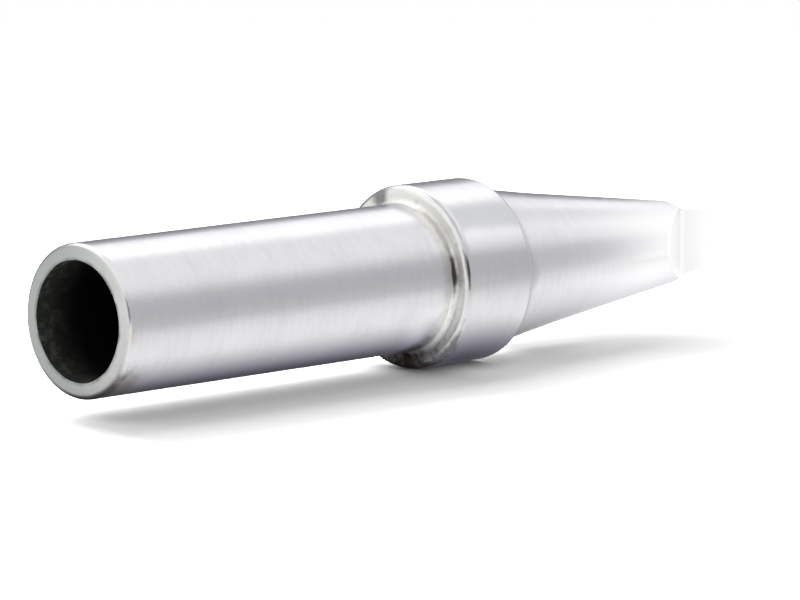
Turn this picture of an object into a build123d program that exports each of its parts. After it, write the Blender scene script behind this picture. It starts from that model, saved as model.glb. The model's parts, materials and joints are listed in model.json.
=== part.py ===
from build123d import *
from math import atan, degrees, hypot, radians, tan
import os

# Chisel soldering tip: one turned and plated copper piece. It slides onto the heater of an iron by its
# shank, a nut holds it by its collar, and its nose ends in a chisel blade.
# The tip stands on its open mouth: the origin is the middle of the mouth, +Z runs to the blade, the
# blade is wide along X, and its two ground flats face -Y and +Y. All lengths are in millimetres.

# Shank, the tube that the heater fits into: its bore sets every other diameter
BORE_DIAMETER = 5.0
BORE_DEPTH = 24.0
DRILL_POINT_ANGLE = 118.0
SHANK_WALL = 0.70
SHANK_LENGTH = 18.6
MOUTH_ROUNDING = 0.22

# Collar, which the nut pulls against the heater
SHOULDER_HEIGHT = 0.77
COLLAR_LENGTH = 4.05
COLLAR_BACK_ROUNDING = 0.30
COLLAR_FRONT_ROUNDING = 0.24
SHOULDER_FILLET = 0.25

# Nose, a slim cone with a faint flare beside the collar
NOSE_REACH = 15.9
NOSE_STEP = 0.53
NOSE_HALF_ANGLE = 7.07
FLARE_HEIGHT = 0.12
FLARE_LENGTH = 5.0
NOSE_FILLET = 0.12

# Working end, bare of the bright plating, whose edge is a low rounded step
WORKING_LENGTH = 2.9
PLATING_STEP = 0.16
PLATING_RUN = 0.40
PLATING_ROUNDING = 0.20

# Chisel, two flats ground steeply down from the cone and then gently out to the blade
BLADE_WIDTH = 2.4
BLADE_THICKNESS = 0.8
FLAT_LENGTH = 5.15
GENTLE_LENGTH = 2.95
GENTLE_THICKNESS = 1.6
GRIND_ROUNDING = 1.5
GRIND_OVERRUN = 0.5
BLADE_EDGE_ROUNDING = 0.12

# The most of a face's height that a rounded edge and a fillet may take from it
EDGE_SHARE = 0.60
FILLET_SHARE = 0.35

# Radii and stations along the axis
bore_radius = BORE_DIAMETER / 2
shank_radius = bore_radius + SHANK_WALL
collar_radius = shank_radius + SHOULDER_HEIGHT
nose_radius = collar_radius - NOSE_STEP
front_height = NOSE_STEP - FLARE_HEIGHT
collar_back = SHANK_LENGTH
collar_front = collar_back + COLLAR_LENGTH
flare_end = collar_front + FLARE_LENGTH
blade_end = collar_front + NOSE_REACH
working_start = blade_end - WORKING_LENGTH
plating_end = working_start - PLATING_RUN
flat_start = blade_end - FLAT_LENGTH
gentle_start = blade_end - GENTLE_LENGTH
blade_corner_radius = hypot(BLADE_WIDTH / 2, BLADE_THICKNESS / 2)


def cone_radius(station):
    """The plated cone's radius at a station along the axis."""
    return nose_radius - (station - collar_front) * tan(radians(NOSE_HALF_ANGLE))


# Sharp corners of the turned outline, each a radius and a station
mouth_corner = (shank_radius, 0)
shoulder_corner = (shank_radius, collar_back)
collar_back_corner = (collar_radius, collar_back)
collar_front_corner = (collar_radius, collar_front)
nose_corner = (nose_radius + FLARE_HEIGHT, collar_front)
cone_start = (cone_radius(flare_end), flare_end)
plating_corner = (cone_radius(plating_end), plating_end)
working_corner = (cone_radius(working_start) - PLATING_STEP, working_start)
blade_corner = (blade_corner_radius, blade_end)
cone_back = (tan(radians(NOSE_HALF_ANGLE)), -1)

with BuildPart() as soldering_tip:
    # The whole outside is one turned profile
    with BuildSketch(Plane.XZ) as turned_profile:
        with BuildLine():
            Polyline(
                (0, blade_end),
                (0, 0),
                mouth_corner,
                shoulder_corner,
                collar_back_corner,
                collar_front_corner,
                nose_corner,
            )
            TangentArc(cone_start, nose_corner, tangent=cone_back)
            Polyline(cone_start, plating_corner, working_corner, blade_corner, (0, blade_end))
        make_face()
        roundings = [
            (mouth_corner, MOUTH_ROUNDING),
            (shoulder_corner, min(SHOULDER_FILLET, FILLET_SHARE * SHOULDER_HEIGHT)),
            (collar_back_corner, min(COLLAR_BACK_ROUNDING, EDGE_SHARE * SHOULDER_HEIGHT)),
            (collar_front_corner, min(COLLAR_FRONT_ROUNDING, EDGE_SHARE * front_height)),
            (nose_corner, min(NOSE_FILLET, FILLET_SHARE * front_height)),
            (plating_corner, PLATING_ROUNDING),
            (working_corner, PLATING_ROUNDING),
        ]
        for corner, rounding in roundings:
            fillet(turned_profile.vertices().sort_by_distance(corner)[0], radius=rounding)
    revolve(axis=Axis.Z)

    # Blind bore with the drill's pointed bottom
    with BuildSketch(Plane.XZ) as bore_profile:
        drill_point = bore_radius / tan(radians(DRILL_POINT_ANGLE / 2))
        Polygon(
            (0, 0),
            (bore_radius, 0),
            (bore_radius, BORE_DEPTH),
            (0, BORE_DEPTH + drill_point),
            align=None,
        )
    revolve(axis=Axis.Z, mode=Mode.SUBTRACT)

    # Two flats, ground from the cone down to the blade's thickness
    steep_run = cone_radius(flat_start) - GENTLE_THICKNESS / 2
    steepness = steep_run / (gentle_start - flat_start)
    gentle_corner = (GENTLE_THICKNESS / 2, gentle_start)
    with BuildSketch(Plane.YZ) as flats:
        Polygon(
            (BLADE_THICKNESS / 2, blade_end),
            gentle_corner,
            (cone_radius(flat_start) + GRIND_OVERRUN * steepness, flat_start - GRIND_OVERRUN),
            (2 * collar_radius, flat_start - GRIND_OVERRUN),
            (2 * collar_radius, blade_end),
            align=None,
        )
        fillet(flats.vertices().sort_by_distance(gentle_corner)[0], radius=GRIND_ROUNDING)
        mirror(about=Plane.YZ)
    extrude(amount=collar_radius, both=True, mode=Mode.SUBTRACT)

    # The blade's end is softened all round
    blade_face = soldering_tip.faces().sort_by(Axis.Z)[-1]
    fillet(blade_face.edges(), radius=BLADE_EDGE_ROUNDING)

soldering_tip.part.label = "soldering_tip"

os.makedirs("parts", exist_ok=True)
export_step(soldering_tip.part, "parts/soldering_tip.step")

steep_angle = degrees(atan(steepness))
print(f"volume {soldering_tip.part.volume:.1f} mm3, flats ground at {steep_angle:.1f} degrees to the axis at first")
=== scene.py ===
"""Dresses the chisel soldering tip in satin plating, dark oxide and tin, and sets up a white studio."""

import json
import logging
import math
from dataclasses import dataclass
from enum import Enum

import bpy
import numpy as np
from mathutils import Matrix, Vector


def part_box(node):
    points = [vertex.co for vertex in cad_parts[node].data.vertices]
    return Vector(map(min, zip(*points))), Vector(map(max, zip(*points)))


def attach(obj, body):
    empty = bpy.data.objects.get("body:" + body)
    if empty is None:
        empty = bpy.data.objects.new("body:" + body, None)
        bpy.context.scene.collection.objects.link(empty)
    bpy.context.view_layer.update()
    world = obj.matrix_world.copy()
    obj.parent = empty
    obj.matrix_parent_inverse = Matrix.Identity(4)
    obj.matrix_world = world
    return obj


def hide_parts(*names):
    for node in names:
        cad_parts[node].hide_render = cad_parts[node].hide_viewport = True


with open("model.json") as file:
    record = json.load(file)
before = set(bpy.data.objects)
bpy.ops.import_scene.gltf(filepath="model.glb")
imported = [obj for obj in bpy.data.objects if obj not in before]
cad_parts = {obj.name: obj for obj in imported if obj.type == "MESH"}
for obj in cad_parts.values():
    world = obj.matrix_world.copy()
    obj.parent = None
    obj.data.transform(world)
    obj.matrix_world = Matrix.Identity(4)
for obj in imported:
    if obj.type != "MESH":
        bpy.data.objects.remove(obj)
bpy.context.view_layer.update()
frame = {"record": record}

MM = 0.001
NODE = "soldering_tip"
BODY = "root"

# Keeps comparisons and divisions clear of rounding errors
SLACK = 1e-6

# What the metal sees on the side that the mouth faces, in the room and on the sheet
MOUTH_SIDE = 1.20

Array = np.ndarray
Socket = bpy.types.NodeSocket
Span = tuple[float, float]
Colour = tuple[float, float, float]

# A noise's repeats a metre, its detail and its roughness
Grain = tuple[float, float, float]

WHITE: Colour = (1.0, 1.0, 1.0)
BLACK: Colour = (0.0, 0.0, 0.0)

log = logging.getLogger("soldering_tip")


class Finish(Enum):
    """The surfaces of the tip, in the order of the piece's material slots."""

    PLATING = 0
    BORE = 1
    WORKING_END = 2


class Wire:
    """A value socket of a shader graph that takes part in Python arithmetic."""

    def __init__(self, graph: "Graph", socket: Socket) -> None:
        """Keeps the graph that new Math nodes go into and the socket that carries the value."""
        self.graph = graph
        self.socket = socket

    def _math(self, operation: str, first: "Wire | float", second: "Wire | float" = 0.0) -> "Wire":
        """Adds one Math node, whose second input is unused by operations on one number."""
        node = self.graph.add("ShaderNodeMath", {"operation": operation}, {0: first, 1: second})
        return Wire(self.graph, node.outputs[0])

    def __add__(self, other: "Wire | float") -> "Wire":
        """Returns self + other."""
        return self._math("ADD", self, other)

    def __radd__(self, other: float) -> "Wire":
        """Returns other + self."""
        return self._math("ADD", other, self)

    def __sub__(self, other: "Wire | float") -> "Wire":
        """Returns self - other."""
        return self._math("SUBTRACT", self, other)

    def __rsub__(self, other: float) -> "Wire":
        """Returns other - self."""
        return self._math("SUBTRACT", other, self)

    def __mul__(self, other: "Wire | float") -> "Wire":
        """Returns self * other."""
        return self._math("MULTIPLY", self, other)

    def __rmul__(self, other: float) -> "Wire":
        """Returns other * self."""
        return self._math("MULTIPLY", other, self)

    def above(self, limit: float) -> "Wire":
        """Returns 1 where self is greater than the limit, and 0 elsewhere."""
        return self._math("GREATER_THAN", self, limit)

    def bearing(self, across: "Wire") -> "Wire":
        """Returns the angle whose tangent is self over across, in degrees from -180 to 180."""
        return self._math("ARCTAN2", self, across) * math.degrees(1.0)

    def length_with(self, other: "Wire") -> "Wire":
        """Returns the square root of self squared plus other squared."""
        return self._math("SQRT", self * self + other * other)

    def smooth(self, low: float, high: float, height: float = 1.0) -> "Wire":
        """Returns a smooth rise from 0 at low to a height at high, or a fall where low is the larger."""
        rising = low < high
        settings = {"interpolation_type": "SMOOTHSTEP", "clamp": True}
        sockets = {
            "Value": self,
            "From Min": min(low, high),
            "From Max": max(low, high),
            "To Min": 0.0 if rising else height,
            "To Max": height if rising else 0.0,
        }
        node = self.graph.add("ShaderNodeMapRange", settings, sockets)
        return Wire(self.graph, node.outputs["Result"])


@dataclass(frozen=True)
class Ramp:
    """A smooth run from 0, where a measure has the first value, to a height, where it has the second."""

    shut: float
    full: float
    height: float = 1.0

    def at(self, measure: Wire) -> Wire:
        """Returns how high the run is at a measure."""
        return measure.smooth(self.shut, self.full, self.height)


@dataclass(frozen=True)
class Window:
    """A soft window on a measure: it opens from start to opened and shuts from closing to end."""

    start: float
    opened: float
    closing: float
    end: float
    height: float = 1.0

    def at(self, measure: Wire) -> Wire:
        """Returns the height where the window is open at a measure, and 0 where it is shut."""
        return measure.smooth(self.start, self.opened) * measure.smooth(self.end, self.closing, self.height)


class Graph:
    """A node tree that is emptied and then filled through one method."""

    def __init__(self, tree: bpy.types.NodeTree) -> None:
        """Empties the tree."""
        self.tree = tree
        tree.nodes.clear()

    def add(self, kind: str, settings: dict | None = None, sockets: dict | None = None) -> bpy.types.Node:
        """Adds a node, sets it up, then feeds its sockets.

        Args:
            kind: The node's type.
            settings: Attributes of the node, set first.
            sockets: Names or numbers of inputs, each with a constant, a socket or a Wire.

        Returns:
            The new node.
        """
        node = self.tree.nodes.new(kind)
        for name, setting in (settings or {}).items():
            setattr(node, name, setting)
        for name, feed in (sockets or {}).items():
            socket = node.inputs[name]
            if isinstance(feed, Wire):
                self.tree.links.new(feed.socket, socket)
            elif isinstance(feed, Socket):
                self.tree.links.new(feed, socket)
            else:
                socket.default_value = feed
        return node

    def place(self) -> Socket:
        """Returns the shaded point in the object's own frame, in metres."""
        return self.add("ShaderNodeTexCoord").outputs["Object"]

    def axes(self, vector: Socket) -> tuple[Wire, Wire, Wire]:
        """Splits a vector into its X, Y and Z."""
        split = self.add("ShaderNodeSeparateXYZ", sockets={0: vector})
        return tuple(Wire(self, split.outputs[i]) for i in range(3))

    def noise(self, vector: Socket, grain: Grain) -> Wire:
        """Returns a noise from 0 to 1 over a vector."""
        sockets = {"Vector": vector, **dict(zip(("Scale", "Detail", "Roughness"), grain))}
        return Wire(self, self.add("ShaderNodeTexNoise", sockets=sockets).outputs["Fac"])

    def mix(self, factor: Wire, low: Colour | Socket, high: Colour | Socket) -> Socket:
        """Returns the socket of a mix of two colours, the low one at factor 0 and the high one at 1."""
        low, high = ((*c, 1.0) if isinstance(c, tuple) else c for c in (low, high))
        node = self.add("ShaderNodeMix", {"data_type": "RGBA"}, {0: factor, 6: low, 7: high})
        return node.outputs[2]

    def scaled(self, colour: Socket, strength: Wire) -> Socket:
        """Returns the socket of a colour times a strength."""
        return self.add("ShaderNodeVectorMath", {"operation": "SCALE"}, {0: colour, 3: strength}).outputs[0]

    def surface(self, shader: bpy.types.Node) -> None:
        """Ends a material's graph with a shader."""
        self.add("ShaderNodeOutputMaterial", sockets={"Surface": shader.outputs[0]})

    def principled(self, colour: Socket, roughness: Wire, bump: Span, height: Wire, constants: dict) -> None:
        """Ends a material's graph with its shader. A bump is its strength and its depth in metres."""
        sockets = {"Strength": bump[0], "Distance": bump[1], "Height": height}
        normal = self.add("ShaderNodeBump", sockets=sockets).outputs[0]
        sockets = {"Base Color": colour, "Roughness": roughness, "Normal": normal, **constants}
        self.surface(self.add("ShaderNodeBsdfPrincipled", sockets=sockets))

    def surface_where(self, seen: Wire, shader: bpy.types.Node) -> None:
        """Ends a material's graph with a shader where seen is 1, and clear where it is 0."""
        clear = self.add("ShaderNodeBsdfTransparent")
        sockets = {0: seen, 1: clear.outputs[0], 2: shader.outputs[0]}
        self.surface(self.add("ShaderNodeMixShader", sockets=sockets))


def new_material(name: str) -> tuple[bpy.types.Material, Graph]:
    """Makes an empty material, and returns it with its graph."""
    material = bpy.data.materials.new(name)
    material.use_nodes = True
    return material, Graph(material.node_tree)


def new_panel(name: str, corners: list[tuple[float, float, float]], unseen_by: tuple[str, ...]) -> Graph:
    """Adds a flat panel to the studio.

    Args:
        name: The name of the panel and of its material.
        corners: The panel's corners in metres.
        unseen_by: The kinds of rays that pass it by.

    Returns:
        The graph of its empty material.
    """
    mesh = bpy.data.meshes.new(name)
    mesh.from_pydata(corners, [], [(0, 1, 2, 3)])
    material, graph = new_material(name)
    mesh.materials.append(material)
    panel = bpy.data.objects.new(name, mesh)
    for ray in unseen_by:
        setattr(panel, f"visible_{ray}", False)
    bpy.context.scene.collection.objects.link(panel)
    return graph


@dataclass
class Tip:
    """The turned tip, with its sizes in millimetres. The record and the frame give the first six."""

    bore_radius: float
    bore_depth: float
    shank_radius: float
    collar_radius: float
    collar_back: float
    blade_end: float
    collar_length: float = 4.05
    drill_half_angle: float = 59.0
    mouth_rounding: float = 0.22
    mouth_inner_edge: float = 0.03
    collar_back_rounding: float = 0.30
    collar_front_rounding: float = 0.24
    shoulder_fillet: float = 0.25
    nose_step: float = 0.53
    nose_half_angle: float = 7.07
    flare_height: float = 0.12
    flare_length: float = 5.0
    nose_fillet: float = 0.12
    working_length: float = 2.9
    plating_step: float = 0.16
    plating_run: float = 0.40
    plating_rounding: float = 0.20
    blade_width: float = 2.4
    blade_thickness: float = 0.8
    flat_length: float = 5.15
    gentle_length: float = 2.95
    gentle_thickness: float = 1.6
    grind_blend: float = 0.13
    blade_rounding: float = 0.12
    crease_rounding: float = 0.06

    # Unevenness: its height, where it fades in or out, and the seed of its waves
    bore_roughness: float = 0.02
    bore_fade: float = 0.3
    bore_seed: int = 3
    mouth_raggedness: float = 0.007
    rim_width: float = 0.12
    rim_depth: float = 0.5
    rim_seed: int = 7
    tin_waviness: float = 0.003
    tin_lead: float = 0.1
    tin_fade: float = 0.5
    tin_seed: int = 5
    waves: int = 28
    most_turns: int = 14
    pitch_spread: float = 5.0

    # Mesh: the columns round the axis, and the steps and points of the outline
    columns: int = 256
    coarse_step: float = 1.2
    fine_step: float = 0.12
    bore_step: float = 0.18
    guard: float = 0.03
    arc_points: int = 9
    blade_arc_points: int = 8
    end_shares: tuple[float, ...] = (0.94, 0.7, 0.4, 0.15)

    @classmethod
    def from_frame(cls) -> "Tip":
        """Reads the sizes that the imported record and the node's box hold."""
        mounts = {mount["name"]: mount for mount in frame["record"]["mounts"]}
        return cls(
            bore_radius=mounts["bore"]["dims"]["r_mm"],
            bore_depth=mounts["bore"]["dims"]["length_mm"],
            shank_radius=mounts["shank"]["dims"]["r_mm"],
            collar_radius=mounts["collar"]["dims"]["r_mm"],
            collar_back=mounts["collar_back"]["pos_m"][2] / MM,
            blade_end=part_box(NODE)[1][2] / MM,
        )

    @property
    def collar_front(self) -> float:
        """The station of the collar's front face."""
        return self.collar_back + self.collar_length

    @property
    def working_start(self) -> float:
        """The station where the bare working end begins."""
        return self.blade_end - self.working_length

    @property
    def blade_corner(self) -> float:
        """The distance from the axis to the blade's corners."""
        return math.hypot(self.blade_width / 2, self.blade_thickness / 2)

    def cone_radius(self, station: float) -> float:
        """Returns the plated cone's radius at a station."""
        slope = math.tan(math.radians(self.nose_half_angle))
        return self.collar_radius - self.nose_step - (station - self.collar_front) * slope

    def corners(self) -> list[tuple[float, float, float]]:
        """Lists the outline's corners from the bore's bottom, out of the mouth and on to the blade.

        Returns:
            Each corner's radius, station and rounding. The flare is a parabola that ends on the cone.
        """
        drill_point = self.bore_radius / math.tan(math.radians(self.drill_half_angle))
        plating_end = self.working_start - self.plating_run
        bare_radius = self.cone_radius(self.working_start) - self.plating_step
        flare = []
        for share in np.linspace(0.0, 1.0, self.arc_points):
            station = self.collar_front + share * self.flare_length
            radius = self.cone_radius(station) + self.flare_height * (1 - share) ** 2
            flare.append((radius, station, self.nose_fillet if share == 0.0 else 0.0))
        return [
            (0.0, self.bore_depth + drill_point, 0.0),
            (self.bore_radius, self.bore_depth, 0.0),
            (self.bore_radius, 0.0, self.mouth_inner_edge),
            (self.shank_radius, 0.0, self.mouth_rounding),
            (self.shank_radius, self.collar_back, self.shoulder_fillet),
            (self.collar_radius, self.collar_back, self.collar_back_rounding),
            (self.collar_radius, self.collar_front, self.collar_front_rounding),
            *flare,
            (self.cone_radius(plating_end), plating_end, self.plating_rounding),
            (bare_radius, self.working_start, self.plating_rounding),
            (self.blade_corner, self.blade_end, 0.0),
        ]

    def outline(self) -> Array:
        """Works out the turned outline with its corners rounded.

        A corner of rounding q between two runs that meet at an angle g has its arc's ends q / tan(g / 2)
        from the corner and its arc's centre q / sin(g / 2) from it, along the line that halves the angle.
        Runs have a point close to each end, so that the light turns only where the metal does.

        Returns:
            An array of rows, each a radius and a station.
        """
        corners = self.corners()
        points = np.array([corner[:2] for corner in corners])
        rows = [points[:1]]
        for i in range(1, len(corners)):
            sharp = i == len(corners) - 1 or corners[i][2] == 0.0
            arc = points[i : i + 1] if sharp else self._arc(points, i, corners[i][2])
            rows.append(self._run(rows[-1][-1], arc[0]))
            rows.append(arc)
        return np.vstack(rows)

    def _arc(self, points: Array, i: int, rounding: float) -> Array:
        """Returns the arc that rounds corner i, from the run before it to the run after it."""
        back = points[i - 1] - points[i]
        ahead = points[i + 1] - points[i]
        back, ahead = back / np.linalg.norm(back), ahead / np.linalg.norm(ahead)
        half = np.arccos(np.clip(back @ ahead, -1.0, 1.0)) / 2
        middle = (back + ahead) / np.linalg.norm(back + ahead)
        centre = points[i] + middle * rounding / np.sin(half)
        start = points[i] + back * rounding / np.tan(half) - centre
        end = points[i] + ahead * rounding / np.tan(half) - centre
        turn = np.pi - 2 * half
        share = np.linspace(0.0, 1.0, self.arc_points)[:, None]
        return centre + (np.sin((1 - share) * turn) * start + np.sin(share * turn) * end) / np.sin(turn)

    def _run(self, start: Array, end: Array) -> Array:
        """Returns the inner points of a straight run: one close to each end and even ones between."""
        length = float(np.linalg.norm(end - start))
        if length < 4 * self.guard:
            return np.empty((0, 2))
        step = self._step(start, end)
        count = max(2, int(math.ceil(length / step)) + 1)
        share = np.linspace(self.guard / length, 1 - self.guard / length, count)[:, None]
        return start + share * (end - start)

    def _step(self, start: Array, end: Array) -> float:
        """Returns a run's longest step: short in the bore, shorter near the flats and long elsewhere."""
        starts_in_bore = 0 < start[0] <= self.bore_radius + SLACK
        if starts_in_bore and end[0] <= self.bore_radius + self.mouth_rounding:
            return self.bore_step
        near_flats = self.blade_end - self.flat_length - self.coarse_step
        return self.fine_step if max(start[1], end[1]) > near_flats else self.coarse_step

    def build(self) -> bpy.types.Object:
        """Builds the whole skin of the tip as one closed mesh.

        The skin is the outline turned round the axis, made uneven in the bore, round the mouth and on the
        tin. Two flats cut it at a distance h from the axis. At an angle a a flat's own radius is h / |sin a|,
        and the smaller of it and the outline's radius counts, lowered a little more near the crease between
        them. The blade's end is the last ring, brought in on all sides through a quarter circle and then
        shrunk to the axis.

        Returns:
            The tip's object, in metres in the row's frame.
        """
        rows = self.outline()
        rows = rows[rows[:, 1] < self.blade_end - self.blade_rounding + SLACK]
        first_half = rows[: len(rows) // 2]
        mouth_row = int(np.argmin(first_half[:, 1] + np.abs(first_half[:, 0] - self.bore_radius)))
        angle = np.linspace(0.0, 2 * np.pi, self.columns, endpoint=False)
        radius = np.repeat(rows[1:, :1], self.columns, axis=1)
        station = np.repeat(rows[1:, 1:], self.columns, axis=1)
        inside = np.arange(1, len(rows))[:, None] < mouth_row
        deep = np.clip(station / self.bore_fade, 0.0, 1.0)
        rough = radius - self.bore_roughness * deep * self._ripples(angle, station, self.bore_seed)
        radius = np.where(inside, rough, radius)
        rim = np.clip(1 - (radius - self.bore_radius) / self.rim_width, 0.0, 1.0)
        rim = rim * np.clip(1 - station / self.rim_depth, 0.0, 1.0)
        radius = radius + self.mouth_raggedness * rim * self._ripples(angle, 0 * station, self.rim_seed)
        outside = ~inside & (station > self.collar_front)
        reach = self._half_thickness(station) / np.maximum(np.abs(np.sin(angle)), SLACK)
        ground = outside & (reach < radius)
        near = np.clip(1 - np.abs(radius - reach) / self.crease_rounding, 0.0, 1.0)
        cut = np.minimum(radius, reach) - near**2 * self.crease_rounding / 4
        radius = np.where(outside, cut, radius)
        tinned = np.clip((station - self.working_start + self.tin_lead) / self.tin_fade, 0.0, 1.0)
        waviness = self.tin_waviness * np.where(outside, tinned, 0.0)
        radius = radius + waviness * self._ripples(angle, station, self.tin_seed)
        skin = np.stack([radius * np.cos(angle), radius * np.sin(angle), station], axis=2)
        skin = np.concatenate([skin, self._blade_rows(skin[-1])])
        bottom = np.array([[0.0, 0.0, rows[0, 1]]])
        top = np.array([[0.0, 0.0, self.blade_end]])
        places = np.concatenate([bottom, skin.reshape(-1, 3), top]) * MM
        return self._mesh(places, len(skin), self._finishes(rows[1:], mouth_row - 1, ground, len(skin)))

    def _half_thickness(self, station: Array) -> Array:
        """Returns the flats' distance from the axis: the larger of two runs, with a smooth meeting."""
        gentle_start = self.blade_end - self.gentle_length
        flat_start = self.blade_end - self.flat_length
        blade, heel = self.blade_thickness / 2, self.gentle_thickness / 2
        gentle = blade + (self.blade_end - station) * (heel - blade) / self.gentle_length
        slope = (self.cone_radius(flat_start) - heel) / (gentle_start - flat_start)
        steep = heel + (gentle_start - station) * slope
        near = np.clip(1 - np.abs(gentle - steep) / self.grind_blend, 0.0, 1.0)
        return np.maximum(gentle, steep) + near**2 * self.grind_blend / 4

    def _ripples(self, angle: Array, station: Array, seed: int) -> Array:
        """Sums sine waves with whole numbers of turns, so that they close round the axis.

        Args:
            angle: The columns' angles.
            station: The stations of all points.
            seed: The seed of the waves' directions and phases.

        Returns:
            A height for each point, mostly between -1 and 1.
        """
        rng = np.random.default_rng(seed)
        height = np.zeros_like(station)
        for _ in range(self.waves):
            turns = rng.integers(-self.most_turns, self.most_turns + 1)
            pitch = rng.normal(0.0, self.pitch_spread)
            phase = rng.uniform(0.0, 2 * np.pi)
            height += np.sin(turns * angle + pitch * station + phase) / math.sqrt(self.waves / 2)
        return height

    def _blade_rows(self, ring: Array) -> Array:
        """Rounds the blade's end and closes it.

        Args:
            ring: The last ring of the sides, at the start of the rounding.

        Returns:
            The rings of a quarter circle that brings in the width and the thickness alike, then of the
            flat end.
        """
        half = np.abs(ring[:, :2]).max(axis=0)
        rings = []
        for turn in np.linspace(0.0, np.pi / 2, self.blade_arc_points)[1:]:
            inward = self.blade_rounding * (1 - np.cos(turn))
            height = self.blade_end - self.blade_rounding * (1 - np.sin(turn))
            rings.append(np.column_stack([ring[:, :2] * (1 - inward / half), np.full(self.columns, height)]))
        edge = rings[-1][:, :2]
        for share in self.end_shares:
            rings.append(np.column_stack([edge * share, np.full(self.columns, self.blade_end)]))
        return np.array(rings)

    def _finishes(self, rows: Array, mouth_row: int, ground: Array, rings: int) -> Array:
        """Chooses the finish of each face.

        Args:
            rows: The outline's rows, one for each ring up to the blade's rounding.
            mouth_row: The row on the mouth's inner edge.
            ground: True at each point of those rings that the flats cut.
            rings: The number of all rings.

        Returns:
            A finish for each column of each band of faces, one band more than there are rings.
        """
        finishes = np.full((rings + 1, self.columns), Finish.PLATING.value)
        finishes[: mouth_row + 1] = Finish.BORE.value
        bare = rows[:, 1] > self.working_start - self.plating_run / 3
        bare[: mouth_row + 1] = False
        finishes[1 : len(rows) + 1][ground | bare[:, None]] = Finish.WORKING_END.value
        finishes[len(rows) :] = Finish.WORKING_END.value
        return finishes

    def _mesh(self, places: Array, rings: int, finishes: Array) -> bpy.types.Object:
        """Joins the rings by quads and the two poles by triangles.

        Args:
            places: The bottom pole, all rings and the top pole.
            rings: The number of rings.
            finishes: The finish of each face, by band and column.

        Returns:
            The object, shaded smooth.
        """
        column = np.arange(self.columns)
        following = (column + 1) % self.columns
        ring = 1 + np.arange(rings - 1)[:, None] * self.columns
        quads = np.stack(
            [ring + column, ring + following, ring + self.columns + following, ring + self.columns + column],
            axis=2,
        ).reshape(-1, 4)
        last_ring = 1 + (rings - 1) * self.columns
        top = len(places) - 1
        bottom_fan = np.column_stack([np.zeros_like(column), 1 + following, 1 + column])
        top_fan = np.column_stack([last_ring + column, last_ring + following, np.full_like(column, top)])
        mesh = bpy.data.meshes.new("tip_skin")
        mesh.from_pydata(places.tolist(), [], bottom_fan.tolist() + quads.tolist() + top_fan.tolist())
        mesh.polygons.foreach_set("material_index", finishes.ravel().astype(np.int32))
        mesh.polygons.foreach_set("use_smooth", np.ones(len(mesh.polygons), dtype=bool))
        mesh.update()
        skin = bpy.data.objects.new("plated_tip", mesh)
        bpy.context.scene.collection.objects.link(skin)
        return skin


@dataclass
class SkinPoint:
    """A shaded point of the plating: its measures in millimetres and degrees, and four noises.

    A bearing is an angle round the tip's axis, from -Y towards -X.
    """

    radius: Wire
    station: Wire
    bearing: Wire
    light_aside: Wire
    turning: Wire
    flecks: Wire
    clouds: Wire
    ragged: Wire


@dataclass(frozen=True)
class StainAndShadePatch:
    """An oval patch of staining, painted shade or painted reflection, by its middle and half its size in
    degrees of bearing and millimetres.
    """

    bearing: float
    station: float
    reach: float
    run: float
    strength: float
    colour: Colour
    raggedness: float = 1.2
    edge: Span = (1.1, 0.35)

    def mask(self, point: SkinPoint) -> Wire:
        """Returns the patch's strength at a point, with an edge made ragged by a noise."""
        across = (point.bearing - self.bearing) * (1 / self.reach)
        along = (point.station - self.station) * (1 / self.run)
        away = across.length_with(along) + (point.ragged - 0.5) * self.raggedness
        return away.smooth(*self.edge) * self.strength


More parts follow.
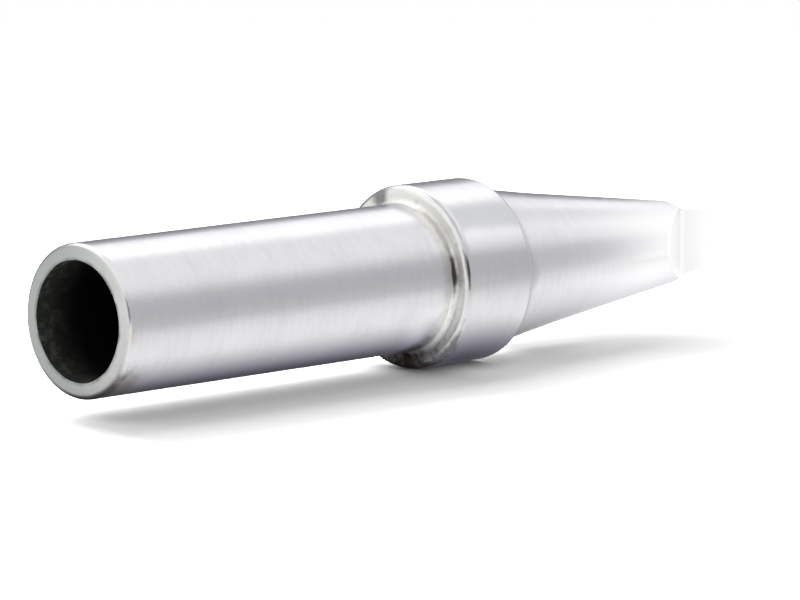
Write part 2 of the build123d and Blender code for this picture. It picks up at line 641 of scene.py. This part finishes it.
@dataclass(frozen=True)
class PlatingFinish:
    """Satin bright plating over fine turning marks, dull and greenish on the mouth's face, with staining and
    with painted highlights, reflections and shade.
    """

    colour: Colour = (0.705, 0.70, 0.715)
    dull_colour: Colour = (0.625, 0.62, 0.645)
    grazing_tint: tuple[float, float, float, float] = (0.62, 0.62, 0.65, 1.0)
    roughness: float = 0.24

    # Noises, those of the turning squeezed into hoops round the axis, and what they dull
    hoop_squeeze: float = 0.22
    turning_grain: Grain = (5200.0, 3.0, 0.6)
    fleck_grain: Grain = (2300.0, 5.0, 0.7)
    cloud_grain: Grain = (420.0, 3.0, 0.6)
    ragged_grain: Grain = (1500.0, 5.0, 0.7)
    dull_clouds: Ramp = Ramp(0.35, 0.75, 0.35)
    dull_flecks: Ramp = Ramp(0.50, 0.75, 0.35)
    dull_turning: Ramp = Ramp(0.40, 0.70, 0.22)
    cloud_roughness: float = 0.10
    turning_roughness: float = 0.08

    turning_height: float = 0.16
    fleck_height: float = 0.18
    cloud_height: float = 1.3
    ragged_height: float = 2.0
    bump: Span = (0.35, 0.00002)

    # Painted highlight: the plating grows lighter along the nose, where it fades to white
    nose_painted_highlight: Colour = (0.775, 0.775, 0.78)
    nose_highlight_stations: Ramp = Ramp(25.0, 33.0, 0.9)

    # The collar, with a painted dark band and a painted bright band by bearing that stand in for reflections,
    # and painted shade on its front edge
    collar_stations: Window = Window(18.85, 19.1, 22.3, 22.5)
    wander: float = 8.0
    painted_dark_band: Colour = (0.52, 0.545, 0.565)
    painted_dark_band_bearings: Window = Window(29, 41, 48, 57, 0.65)
    painted_bright_band: Colour = (0.83, 0.82, 0.835)
    painted_bright_band_bearings: Window = Window(15, 24, 31, 38, 0.75)
    collar_edge_painted_shade: Colour = (0.50, 0.50, 0.52)
    collar_edge_shade_stations: Ramp = Ramp(22.36, 22.48, 0.9)
    collar_edge_shade_radii: Ramp = Ramp(3.44, 3.52)

    # A painted highlight on the shank before the shoulder, where the shank reflects the collar, left out at
    # the bearings of the dark streak but kept on its lower side
    shank_painted_highlight: Colour = (0.94, 0.93, 0.945)
    shank_highlight_start: Ramp = Ramp(17.55, 18.25)
    shank_highlight_end: Ramp = Ramp(18.50, 18.42, 0.95)
    streak_bearings: Window = Window(-16, -4, 20, 29, 0.9)
    underside_highlight_start: Ramp = Ramp(15.8, 17.5)
    underside_highlight_bearings: Window = Window(-78, -66, -28, -12)

    shoulder_colour: Colour = (0.84, 0.84, 0.80)
    shoulder_stations: Window = Window(18.38, 18.48, 18.66, 18.76)
    shoulder_radii: Ramp = Ramp(3.85, 3.75)
    grime_colour: Colour = (0.20, 0.17, 0.15)
    grime_specks: Ramp = Ramp(0.50, 0.72, 0.30)

    # The mouth's face, with painted light on one side and painted shade on the other, dark specks, and darker
    # towards the bore's edge
    face_shade_and_speck_colour: Colour = (0.42, 0.44, 0.43)
    face_painted_light: Colour = (0.62, 0.63, 0.61)
    face_roughness: float = 0.45
    face_stations: Ramp = Ramp(0.09, 0.02)
    face_radii: Ramp = Ramp(3.16, 3.04)
    face_lean: float = 0.2
    face_painted_light_side: Ramp = Ramp(2.2, -2.6)
    face_specks: Ramp = Ramp(0.45, 0.75, 0.35)
    inner_edge_colour: Colour = (0.17, 0.18, 0.165)
    inner_edge_radii: Ramp = Ramp(2.68, 2.54)
    inner_edge_least: float = 0.25
    inner_edge_specks: Ramp = Ramp(0.40, 0.62, 0.55)

    stain_and_shade_roughness: float = 0.2
    # Patches of real staining and of painted shade and reflections, each one named below
    stains_and_painted_shade: tuple[StainAndShadePatch, ...] = (
        # Painted shade: the shoulder darkens to brown on the side towards the sheet
        StainAndShadePatch(-86.0, 18.86, 46.0, 0.55, 1.00, (0.065, 0.048, 0.037)),
        # Brown scorch by the mouth's lower side, darkened further as painted shade
        StainAndShadePatch(-60.0, 0.40, 32.0, 1.25, 0.60, (0.26, 0.20, 0.15)),
        # Painted shade under the mouth's lower rounding
        StainAndShadePatch(-72.0, 0.14, 46.0, 0.42, 0.85, (0.13, 0.115, 0.10)),
        # A faint brown scorch by the mouth
        StainAndShadePatch(-7.0, 0.24, 9.0, 0.30, 0.22, (0.62, 0.53, 0.38)),
        # Painted dark reflections and shade in the fillet and on the collar's back rim, in this patch and the
        # five below
        StainAndShadePatch(9.0, 18.49, 21.0, 0.12, 0.97, (0.05, 0.04, 0.035)),
        StainAndShadePatch(44.0, 18.47, 30.0, 0.16, 0.60, (0.34, 0.32, 0.29)),
        StainAndShadePatch(9.0, 18.74, 15.0, 0.065, 0.95, (0.08, 0.07, 0.065)),
        StainAndShadePatch(50.0, 18.75, 34.0, 0.07, 0.52, (0.33, 0.31, 0.30)),
        StainAndShadePatch(-47.0, 18.75, 24.0, 0.14, 0.90, (0.20, 0.19, 0.19)),
        StainAndShadePatch(112.0, 18.62, 9.0, 0.11, 0.85, (0.26, 0.26, 0.27)),
        # A painted dark reflection on the nose, just past the collar
        StainAndShadePatch(2.0, 23.20, 13.0, 0.50, 0.50, (0.46, 0.46, 0.48)),
    )

    def material(self) -> bpy.types.Material:
        """Makes the material from noise stretched round the axis and masks along it."""
        material, graph = new_material("satin_plating")
        point = self._point(graph)
        colour = self._metal(graph, point)
        colour = self._shank_painted_highlight(graph, point, colour)
        shoulder = self.shoulder_stations.at(point.station) * self.shoulder_radii.at(point.radius)
        colour = graph.mix(shoulder, colour, self.shoulder_colour)
        colour = graph.mix(shoulder * self.grime_specks.at(point.ragged), colour, self.grime_colour)
        rougher = self.face_roughness - self.roughness
        dull = shoulder * rougher
        # Real staining, painted shade and painted reflections, patch by patch
        for stain_and_shade in self.stains_and_painted_shade:
            mask = stain_and_shade.mask(point)
            colour = graph.mix(mask, colour, stain_and_shade.colour)
            dull = dull + mask * self.stain_and_shade_roughness
        face = self.face_stations.at(point.station) * self.face_radii.at(point.radius)
        colour = graph.mix(face, colour, self._face(graph, point))

        roughness = self.roughness + (point.clouds - 0.5) * self.cloud_roughness
        roughness = roughness + (point.turning - 0.5) * self.turning_roughness + dull * (1.0 - face)
        roughness = roughness + face * rougher
        height = point.turning * self.turning_height + point.flecks * self.fleck_height
        height = height + point.clouds * self.cloud_height
        height = height + (face + shoulder) * point.ragged * self.ragged_height
        constants = {"Metallic": 1.0, "Specular Tint": self.grazing_tint}
        graph.principled(colour, roughness, self.bump, height, constants)
        return material

    def _point(self, graph: Graph) -> SkinPoint:
        """Works out a point's measures and noises. Aside runs across the mouth's face, whose painted light
        and painted shade change along it.
        """
        place = graph.place()
        x, y, z = graph.axes(place)
        sockets = {0: x * self.hoop_squeeze, 1: y * self.hoop_squeeze, 2: z}
        hoops = graph.add("ShaderNodeCombineXYZ", sockets=sockets).outputs[0]
        return SkinPoint(
            radius=x.length_with(y) * (1 / MM),
            station=z * (1 / MM),
            bearing=(x * -1.0).bearing(y * -1.0),
            light_aside=(y - x * self.face_lean) * (1 / MM),
            turning=graph.noise(hoops, self.turning_grain),
            flecks=graph.noise(hoops, self.fleck_grain),
            clouds=graph.noise(place, self.cloud_grain),
            ragged=graph.noise(place, self.ragged_grain),
        )

    def _metal(self, graph: Graph, point: SkinPoint) -> Socket:
        """Returns the colour of the clean plating: the mottled metal, a painted highlight on the nose, and
        painted reflection bands and painted shade on the collar.
        """
        mottle = self.dull_clouds.at(point.clouds) + self.dull_flecks.at(point.flecks)
        mottle = mottle + self.dull_turning.at(point.turning)
        colour = graph.mix(mottle, self.colour, self.dull_colour)
        # Painted highlight on the nose
        colour = graph.mix(self.nose_highlight_stations.at(point.station), colour, self.nose_painted_highlight)
        collar = self.collar_stations.at(point.station)
        bearing = point.bearing + (point.clouds - 0.5) * self.wander
        # Painted reflection bands on the collar, one darker and one lighter
        colour = graph.mix(collar * self.painted_dark_band_bearings.at(bearing), colour, self.painted_dark_band)
        colour = graph.mix(collar * self.painted_bright_band_bearings.at(bearing), colour, self.painted_bright_band)
        # Painted shade on the collar's front edge
        edge = self.collar_edge_shade_stations.at(point.station) * self.collar_edge_shade_radii.at(point.radius)
        return graph.mix(edge, colour, self.collar_edge_painted_shade)

    def _shank_painted_highlight(self, graph: Graph, point: SkinPoint, colour: Socket) -> Socket:
        """Returns a colour with a painted highlight on the shank before the shoulder."""
        shank_highlight = (1.0 - self.streak_bearings.at(point.bearing)) * self.shank_highlight_start.at(point.station)
        underside_highlight = self.underside_highlight_start.at(point.station) * self.underside_highlight_bearings.at(point.bearing)
        factor = (shank_highlight + underside_highlight) * self.shank_highlight_end.at(point.station)
        return graph.mix(factor, colour, self.shank_painted_highlight)

    def _face(self, graph: Graph, point: SkinPoint) -> Socket:
        """Returns the colour of the mouth's face: painted light on one side and painted shade on the other,
        dark specks, and darker towards the bore's edge.
        """
        colour = graph.mix(self.face_painted_light_side.at(point.light_aside), self.face_shade_and_speck_colour, self.face_painted_light)
        colour = graph.mix(self.face_specks.at(point.ragged), colour, self.face_shade_and_speck_colour)
        inner_edge = self.inner_edge_specks.at(point.ragged) + self.inner_edge_least
        inner_edge = inner_edge * self.inner_edge_radii.at(point.radius)
        return graph.mix(inner_edge, colour, self.inner_edge_colour)


@dataclass(frozen=True)
class BoreFinish:
    """Dark, crusted oxide on the wall of the bore, paler just inside the mouth, with painted shade that turns
    it black further in.
    """

    bore_painted_shade: Colour = (0.004, 0.004, 0.004)
    wall_colour: Colour = (0.060, 0.066, 0.056)
    crust_colour: Colour = (0.30, 0.325, 0.28)
    crust_grain: Grain = (1700.0, 6.0, 0.7)
    speck_grain: Grain = (5200.0, 3.0, 0.6)
    pale_crust: Ramp = Ramp(0.44, 0.70, 0.7)
    pale_specks: Ramp = Ramp(0.62, 0.75, 0.5)
    bore_shade_stations: Ramp = Ramp(0.0, 2.4)
    wander: float = 1.5
    speck_height: float = 0.2
    bump: Span = (0.8, 0.00006)
    roughness: float = 0.75
    crust_roughness: float = 0.2
    shine: float = 0.15

    def material(self) -> bpy.types.Material:
        """Makes the material from two scales of noise, under painted shade that deepens into the bore."""
        material, graph = new_material("oxidised_bore")
        place = graph.place()
        station = graph.axes(place)[2] * (1 / MM)
        crust = graph.noise(place, self.crust_grain)
        specks = graph.noise(place, self.speck_grain)
        pale = self.pale_crust.at(crust) + self.pale_specks.at(specks)
        colour = graph.mix(pale, self.wall_colour, self.crust_colour)
        # Painted shade: the wall turns black further into the bore, along a wavering edge
        deep = self.bore_shade_stations.at(station + (crust - 0.5) * self.wander)
        colour = graph.mix(deep, colour, self.bore_painted_shade)
        roughness = self.roughness + crust * self.crust_roughness
        height = crust + specks * self.speck_height
        graph.principled(colour, roughness, self.bump, height, {"Specular IOR Level": self.shine})
        return material


@dataclass(frozen=True)
class TinnedFinish:
    """Tin on the working end: pale, slightly lumpy and a little dull."""

    colour: Colour = (0.68, 0.68, 0.68)
    dull_colour: Colour = (0.635, 0.635, 0.635)
    heel_colour: Colour = (0.70, 0.70, 0.70)
    heel_stations: Ramp = Ramp(35.85, 35.60)
    # Painted highlight: the tin grows lighter towards the blade's end, where the end fades to white
    blade_painted_highlight: Colour = (0.725, 0.725, 0.725)
    blade_highlight_stations: Ramp = Ramp(35.8, 38.2)
    lump_grain: Grain = (900.0, 2.0, 0.5)
    fine_grain: Grain = (6000.0, 4.0, 0.6)
    dull_lumps: Ramp = Ramp(0.4, 0.7, 0.6)
    dull_grain: float = 0.2
    grain_height: float = 0.15
    bump: Span = (0.4, 0.00004)
    roughness: float = 0.28
    grain_roughness: float = 0.15

    def material(self) -> bpy.types.Material:
        """Makes the material from soft lumps and fine grain."""
        material, graph = new_material("tinned_end")
        place = graph.place()
        station = graph.axes(place)[2] * (1 / MM)
        lumps = graph.noise(place, self.lump_grain)
        grain = graph.noise(place, self.fine_grain)
        dull = self.dull_lumps.at(lumps) + grain * self.dull_grain
        colour = graph.mix(dull, self.colour, self.dull_colour)
        colour = graph.mix(self.heel_stations.at(station), colour, self.heel_colour)
        # Painted highlight towards the blade's end
        colour = graph.mix(self.blade_highlight_stations.at(station), colour, self.blade_painted_highlight)
        roughness = self.roughness + grain * self.grain_roughness
        height = lumps + grain * self.grain_height
        graph.principled(colour, roughness, self.bump, height, {"Metallic": 1.0})
        return material


@dataclass(frozen=True)
class Room:
    """The plain white room that lights the tip, in bands of bearings round the tip's axis.

    Ahead means towards the blade's end, which the nose reflects and where the bands differ a little. The
    side of the room that the mouth faces is even. Glossy rays see the bands, other rays an even fill, and
    the camera white.
    """

    fill: float = 0.40
    front: float = 0.62
    ahead: Ramp = Ramp(0.72, 0.86)
    side: Ramp = Ramp(22, 52, 0.50)
    top: Ramp = Ramp(96, 110)
    top_level: float = 0.62
    top_less_ahead: float = 0.25
    top_later_ahead: float = 14.0
    gleam_ahead: Window = Window(56, 68, 80, 92, 0.14)
    back: Ramp = Ramp(144, 151, 1.22)
    far_back: Ramp = Ramp(160, 172, 0.26)
    back_less_ahead: float = 0.19
    mouth_side: Ramp = Ramp(-0.30, -0.60)
    camera_side: tuple[float, float, float] = (-0.1411, -0.7002, -0.6999)
    camera_dark: Ramp = Ramp(0.92, 0.975, 0.85)
    shade: Ramp = Ramp(1.1, 0.4)
    shade_tint: Colour = (1.0, 0.99, 1.05)

    def build(self) -> None:
        """Makes the world from the bands, the fill and the white."""
        world = bpy.data.worlds.new("studio")
        bpy.context.scene.world = world
        world.use_nodes = True
        graph = Graph(world.node_tree)
        bands = self._bands(*graph.axes(graph.add("ShaderNodeTexCoord").outputs["Generated"]))
        path = graph.add("ShaderNodeLightPath").outputs
        direct = 1.0 - Wire(graph, path["Diffuse Depth"]).above(0.5)
        glossy = Wire(graph, path["Is Glossy Ray"])
        strength = self.fill + glossy * (bands * direct - self.fill)
        strength = strength + Wire(graph, path["Is Camera Ray"]) * (1.0 - strength)
        tint = graph.mix(glossy * self.shade.at(bands), WHITE, self.shade_tint)
        shine = graph.add("ShaderNodeBackground", sockets={"Color": tint, "Strength": strength})
        graph.add("ShaderNodeOutputWorld", sockets={"Surface": shine.outputs[0]})

    def _bands(self, x: Wire, y: Wire, z: Wire) -> Wire:
        """Returns how bright the metal sees the room in the direction x, y, z."""
        bearing = (x * -1.0).bearing(y * -1.0)
        ahead = self.ahead.at(z)
        top = self.top.at(bearing - ahead * self.top_later_ahead)
        bands = self.front + self.side.at(bearing) + top * (self.top_level - ahead * self.top_less_ahead)
        bands = bands + ahead * self.gleam_ahead.at(bearing)
        back = self.back.at(bearing) + self.far_back.at(bearing)
        bands = bands - back * (1.0 - ahead * self.back_less_ahead)
        bands = bands + self.mouth_side.at(z) * (MOUTH_SIDE - bands)
        side = self.camera_side
        return bands * (1.0 - self.camera_dark.at(x * side[0] + y * side[1] + z * side[2]))


@dataclass(frozen=True)
class Softbox:
    """A softbox that faces the tip's middle, by its power in watts, its place and its size in metres.

    The rise is towards the blade, in degrees. The width lies round the axis and the length along it.
    """

    name: str
    power: float
    bearing: float
    rise: float
    width: float
    length: float
    distance: float = 0.30
    aim: tuple[float, float, float] = (0.0, 0.0, 0.018)

    def build(self) -> None:
        """Hangs the softbox, unseen by the camera and by the metal."""
        light = bpy.data.lights.new(self.name, "AREA")
        light.shape = "RECTANGLE"
        light.size, light.size_y = self.width, self.length
        light.energy = self.power
        lamp = bpy.data.objects.new(self.name, light)
        turn, lift = math.radians(self.bearing), math.radians(self.rise)
        away = Vector((-math.sin(turn) * math.cos(lift), -math.cos(turn) * math.cos(lift), math.sin(lift)))
        across = Vector((0.0, 0.0, 1.0)).cross(away).normalized()
        lamp.matrix_world = Matrix.LocRotScale(
            Vector(self.aim) + away * self.distance,
            Matrix((across, away.cross(across), away)).transposed().to_quaternion(),
            None,
        )
        lamp.visible_camera = lamp.visible_glossy = False
        bpy.context.scene.collection.objects.link(lamp)


@dataclass(frozen=True)
class EndCard:
    """A soft round card beyond the blade, which brightens what the nose reflects towards its end."""

    height: float = 0.046
    inside: float = 0.008
    outside: float = 0.0140
    shine: float = 1.48

    def build(self) -> None:
        """Hangs the card, unseen by the camera."""
        half, height = self.outside, self.height
        corners = [(-half, -half, height), (-half, half, height), (half, half, height), (half, -half, height)]
        graph = new_panel("end_card", corners, ("camera", "diffuse", "shadow"))
        x, y, _ = graph.axes(graph.place())
        shine = graph.add("ShaderNodeEmission", sockets={"Color": (*WHITE, 1.0), "Strength": self.shine})
        graph.surface_where(x.length_with(y).smooth(self.outside, self.inside), shine)


@dataclass(frozen=True)
class SheetLevels:
    """How bright the sheet beside the collar is, by millimetres across the tip and along it.

    The metal sees levels of its own on it: they fall under the tip, where it casts its shadow, and far in
    front, and rise again behind it and past both its ends. The camera sees it lit, with a white that
    changes where the photograph's shadow is softer or wider than the lights make it.
    """

    lit: float = 1.18
    shadow: Ramp = Ramp(-4.75, 0.1, 1.06)
    collar_shadow: Window = Window(18.8, 20.4, 24.0, 26.0, 1.3)
    far_front: Ramp = Ramp(-4, -24, 0.49)
    behind_across: Ramp = Ramp(2, 10)
    behind_along: Ramp = Ramp(15, 6, 0.65)
    past_mouth: Ramp = Ramp(-1, -6)
    nose_along: Ramp = Ramp(21, 33)
    nose_across: Window = Window(-9.5, -4, 2.5, 6)
    nose_level: float = 1.2
    blade_along: Ramp = Ramp(30, 37, 0.25)
    blade_across: Window = Window(-8, -2.5, 2.5, 6)
    tint: Colour = (1.0, 0.99, 1.16)
    tint_levels: Ramp = Ramp(0.1, 1.0)
    tint_along: Ramp = Ramp(23, 32)

    white: Colour = (2.0, 2.0, 2.0)
    end_white: Colour = (1.6, 1.6, 1.6)
    end_along: Ramp = Ramp(26, 34)
    mouth_white: Colour = (2.6, 2.6, 2.6)
    mouth_along: Ramp = Ramp(-4, -9)
    collar_white: Colour = (3.2, 3.2, 3.2)
    collar_along: Window = Window(18.4, 20.6, 20.5, 27.0)
    collar_across: Ramp = Ramp(-5.5, -2.0)
    under_nose_white: Colour = (1.15, 1.15, 1.15)
    under_nose_along: Window = Window(24.5, 27.0, 32, 39)
    under_nose_across: Window = Window(-2.2, 0.0, 1.2, 3.2)

    def level(self, across: Wire, along: Wire) -> Wire:
        """Returns the level that the metal sees."""
        level = self.lit - self.shadow.at(across + self.collar_shadow.at(along))
        level = level - self.far_front.at(across)
        level = level + self.behind_across.at(across) * self.behind_along.at(along)
        level = level + self.past_mouth.at(along) * (MOUTH_SIDE - level)
        nose = self.nose_along.at(along) * self.nose_across.at(across)
        level = level + nose * (self.nose_level - level)
        return level + self.blade_along.at(along) * self.blade_across.at(across)

    def tinted(self, graph: Graph, level: Wire, along: Wire) -> Socket:
        """Returns the tint that the metal sees, bluer where the level is low."""
        factor = self.tint_levels.at(level) + self.tint_along.at(along)
        return graph.mix(factor, self.tint, WHITE)

    def whites(self, graph: Graph, across: Wire, along: Wire) -> Socket:
        """Returns the white that the camera sees lit."""
        white = graph.mix(self.end_along.at(along), self.white, self.end_white)
        white = graph.mix(self.mouth_along.at(along), white, self.mouth_white)
        past_collar = self.collar_along.at(along) * self.collar_across.at(across)
        white = graph.mix(past_collar, white, self.collar_white)
        under_nose = self.under_nose_along.at(along) * self.under_nose_across.at(across)
        return graph.mix(under_nose, white, self.under_nose_white)


@dataclass(frozen=True)
class Studio:
    """The white table top, the lights round it and the camera.

    The tip stands on its mouth on one sheet, as other views show it. The photograph shows it lying on its
    collar, so a second sheet touches the collar on the +X side, and only a view from below the first sheet
    sees it, through a clear sheet called the veil.
    """

    room: Room = Room()
    softboxes: tuple[Softbox, ...] = (
        Softbox("high_softbox", power=0.98, bearing=150.9, rise=13.8, width=0.252, length=0.111),
        Softbox("low_softbox", power=0.26, bearing=119.5, rise=32.7, width=0.169, length=0.174),
    )
    end_card: EndCard = EndCard()
    levels: SheetLevels = SheetLevels()
    sheet_size: float = 0.50
    sheet_fade: Span = (0.18, 0.10)
    sheet_gap: float = 0.00001
    veil_depth: float = 0.027
    camera_lens: float = 233.9
    camera_clip: Span = (0.01, 10.0)
    camera_distance: float = 0.2230
    camera_turn: float = 45.0
    camera_rise: float = 8.11
    camera_aim: tuple[float, float, float] = (0.000931, -0.000188, 0.018279)

    def build(self, tip: Tip) -> None:
        """Sets up everything that isn't the tip."""
        self.room.build()
        for softbox in self.softboxes:
            softbox.build()
        self.end_card.build()
        self._standing_sheet()
        self._lying_sheet(tip)
        self._veil()
        self._camera()

    def _lay(self, name: str, place: Matrix, unseen_by: tuple[str, ...]) -> Graph:
        """Lays a square sheet, face up on the plane z = 0 and then moved by a matrix."""
        half = self.sheet_size / 2
        flat = ((-half, -half, 0), (half, -half, 0), (half, half, 0), (-half, half, 0))
        return new_panel(name, [tuple(place @ Vector(corner)) for corner in flat], unseen_by)

    def _standing_sheet(self) -> None:
        """Lays the white sheet that the tip stands on, clear from below."""
        place = Matrix.Translation((0.0, 0.0, -self.sheet_gap))
        graph = self._lay("standing_sheet", place, ("diffuse", "glossy", "transmission", "shadow"))
        x, y, _ = graph.axes(graph.place())
        lit = graph.add("ShaderNodeBsdfDiffuse", sockets={"Color": (*self.levels.white, 1.0)})
        graph.surface_where(self._front(graph) * x.length_with(y).smooth(*self.sheet_fade), lit)

    def _lying_sheet(self, tip: Tip) -> None:
        """Lays the white sheet beside the collar, for the metal, and for the camera through the veil."""
        beside = Matrix.Translation((tip.collar_radius * MM + self.sheet_gap, 0.0, 0.0))
        place = beside @ Matrix.Rotation(-math.pi / 2, 4, "Y")
        graph = self._lay("lying_sheet", place, ("diffuse", "transmission", "shadow"))
        path = graph.add("ShaderNodeLightPath").outputs
        glossy = Wire(graph, path["Is Glossy Ray"])
        direct = 1.0 - Wire(graph, path["Diffuse Depth"]).above(0.5)
        _, y, z = graph.axes(graph.place())
        across, along = y * (1 / MM), z * (1 / MM)
        level = self.levels.level(across, along)
        seen = graph.scaled(self.levels.tinted(graph, level, along), level * direct * glossy)
        white = graph.mix(glossy, self.levels.whites(graph, across, along), BLACK)
        glow = graph.add("ShaderNodeEmission", sockets={"Color": seen})
        matte = graph.add("ShaderNodeBsdfDiffuse", sockets={"Color": white})
        lit = graph.add("ShaderNodeAddShader", sockets={0: matte.outputs[0], 1: glow.outputs[0]})
        veiled = Wire(graph, path["Transparent Depth"]).above(0.5)
        veiled = veiled * y.length_with(z).smooth(*self.sheet_fade)
        graph.surface_where(self._front(graph) * (veiled + glossy - veiled * glossy), lit)

    def _veil(self) -> None:
        """Lays the clear sheet below the standing sheet."""
        place = Matrix.Translation((0.0, 0.0, -self.veil_depth))
        graph = self._lay("veil", place, ("diffuse", "glossy", "transmission", "shadow"))
        graph.surface(graph.add("ShaderNodeBsdfTransparent"))

    @staticmethod
    def _front(graph: Graph) -> Wire:
        """Returns 1 on a sheet's face and 0 on its back."""
        return 1.0 - Wire(graph, graph.add("ShaderNodeNewGeometry").outputs["Backfacing"])

    def _camera(self) -> None:
        """Sets the camera where the photograph was taken from, level with the sheet that the tip lies on."""
        turn, rise = math.radians(self.camera_turn), math.radians(self.camera_rise)
        level = math.cos(rise)
        ahead = Vector((math.sin(rise), level * math.sin(turn), level * math.cos(turn)))
        right = ahead.cross(Vector((-1.0, 0.0, 0.0))).normalized()
        up = right.cross(ahead)
        data = bpy.data.cameras.new("camera")
        data.lens = self.camera_lens
        data.clip_start, data.clip_end = self.camera_clip
        camera = bpy.data.objects.new("camera", data)
        place = Vector(self.camera_aim) - ahead * self.camera_distance
        facing = Matrix((right, up, -ahead)).transposed().to_quaternion()
        camera.matrix_world = Matrix.LocRotScale(place, facing, None)
        bpy.context.scene.collection.objects.link(camera)
        bpy.context.scene.camera = camera


def main() -> None:
    """Builds the tip, its finishes and the studio, in that order."""
    logging.basicConfig(level=logging.INFO, format="%(name)s: %(message)s")
    tip = Tip.from_frame()
    skin = tip.build()
    for finish in (PlatingFinish(), BoreFinish(), TinnedFinish()):
        skin.data.materials.append(finish.material())
    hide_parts(NODE)
    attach(skin, BODY)
    log.info("%s has %d faces", skin.name, len(skin.data.polygons))
    Studio().build(tip)
    scene = bpy.context.scene
    scene.view_settings.view_transform = "Standard"


if __name__ == "__main__":
    main()
